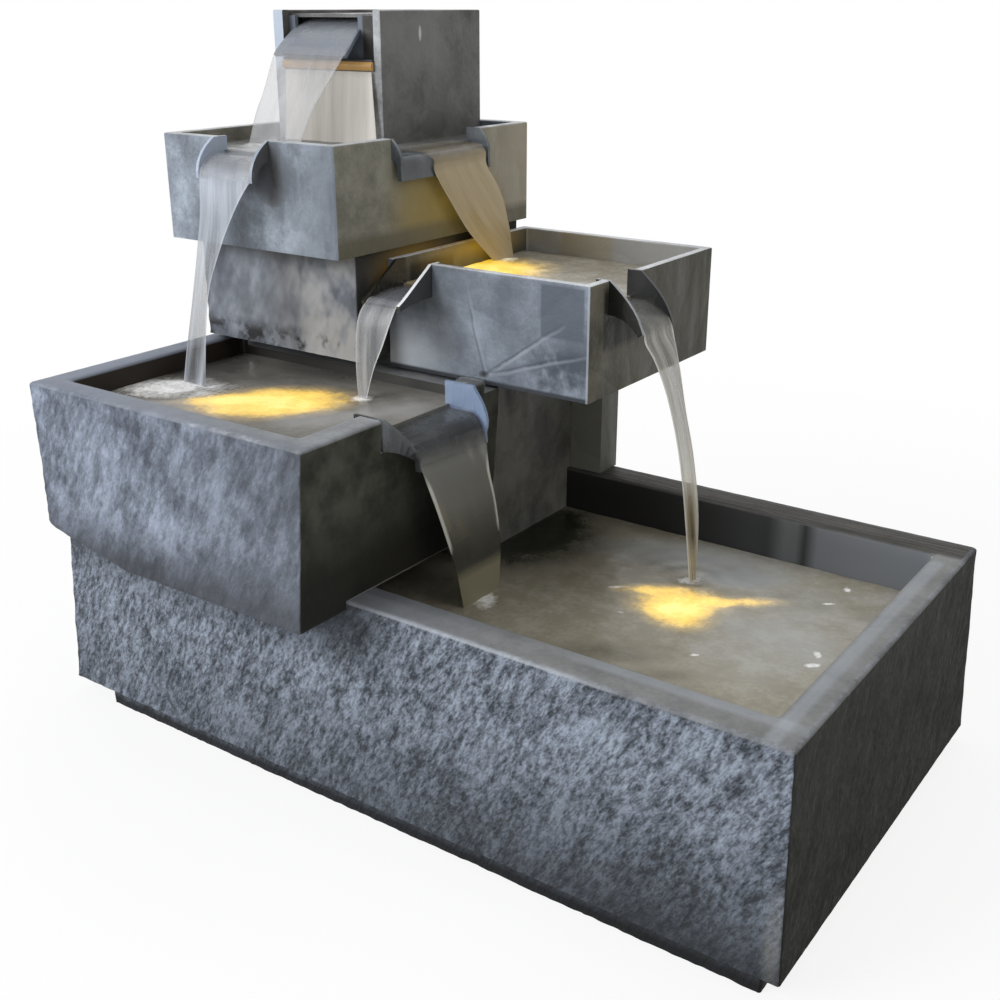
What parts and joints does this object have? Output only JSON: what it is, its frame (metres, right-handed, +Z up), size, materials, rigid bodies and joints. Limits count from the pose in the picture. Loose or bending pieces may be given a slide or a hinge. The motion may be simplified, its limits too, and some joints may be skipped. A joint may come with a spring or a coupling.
{
  "type": "solar water feature",
  "caption": "Free-standing cascading garden fountain: rectangular stone-effect bowls stacked in tiers over a long trough, with curved spouts and amber lights.",
  "frame": {"origin": "on the ground, under the middle of the whole outline", "axes": "+X along the trough, towards its open end; +Y from the front to the back; +Z up"},
  "size_m": [0.714, 0.442, 0.605],
  "materials": {
    "rough_stone_resin": "split-stone texture",
    "smooth_stone_resin": "fine cast-stone texture",
    "black_plastic": "matt",
    "black_rubber": "matt",
    "stainless_steel": "satin",
    "amber_lens": "clear, lit from inside"
  },
  "bodies": {
    "fountain": {"base_trough": "rough_stone_resin", "lower_bowl": "rough_stone_resin", "stone_riser": "rough_stone_resin", "pump_tower": "smooth_stone_resin", "right_bowl": "smooth_stone_resin", "upper_bowl": "smooth_stone_resin", "top_tank": "smooth_stone_resin", "top_spillway": "smooth_stone_resin", "upper_front_spout": "smooth_stone_resin", "upper_side_spout": "smooth_stone_resin", "right_front_spout": "smooth_stone_resin", "right_side_spout": "smooth_stone_resin", "lower_side_spout": "smooth_stone_resin", "light_bar_housing": "black_plastic", "light_bar_lens": "amber_lens", "base_lamp_housing": "black_plastic", "base_lamp_lens": "amber_lens", "lower_lamp_housing": "black_plastic", "lower_lamp_lens": "amber_lens", "lower_lamp_nut": "black_plastic", "right_lamp_housing": "black_plastic", "right_lamp_lens": "amber_lens", "right_lamp_nut": "black_plastic", "pump_motor": "black_plastic", "pump_volute": "black_plastic", "impeller_cover": "black_plastic", "suction_foot_1": "black_rubber", "suction_foot_2": "black_rubber", "suction_foot_3": "black_rubber", "suction_foot_4": "black_rubber", "riser_hose": "black_rubber", "pump_lead": "black_rubber", "riser_grommet": "black_rubber", "hose_clamp_lower": "stainless_steel", "hose_clamp_upper": "stainless_steel", "tank_bulkhead": "black_plastic", "bulkhead_nut": "black_plastic", "cable_gland": "black_plastic", "gland_nut": "black_plastic"},
    "pump_impeller": {"pump_impeller": "black_plastic"},
    "intake_strainer": {"intake_strainer": "black_plastic"},
    "flow_dial": {"flow_dial": "black_plastic"},
    "access_door": {"access_door": "smooth_stone_resin", "door_screw_1": "stainless_steel", "door_screw_2": "stainless_steel", "door_screw_3": "stainless_steel", "door_screw_4": "stainless_steel"},
    "drain_plug": {"drain_plug": "black_rubber", "drain_seal": "black_rubber"}
  },
  "joints": [
    {"name": "impeller_spin", "type": "hinge", "parent": "fountain", "child": "pump_impeller", "pos_m": [-0.2105, 0.141, 0.0763], "axis": [1, 0, 0], "continuous": true},
    {"name": "strainer_pull", "type": "slide", "parent": "fountain", "child": "intake_strainer", "axis": [1, 0, 0], "range_m": [0, 0.03]},
    {"name": "flow_dial_turn", "type": "hinge", "parent": "intake_strainer", "child": "flow_dial", "pos_m": [-0.1711, 0.141, 0.0763], "axis": [1, 0, 0], "range_deg": [0, 90]},
    {"name": "door_lift_off", "type": "slide", "parent": "fountain", "child": "access_door", "axis": [0, 1, 0], "range_m": [0, 0.04]},
    {"name": "drain_plug_pull", "type": "slide", "parent": "fountain", "child": "drain_plug", "axis": [0, 1, 0], "range_m": [0, 0.06]}
  ]
}
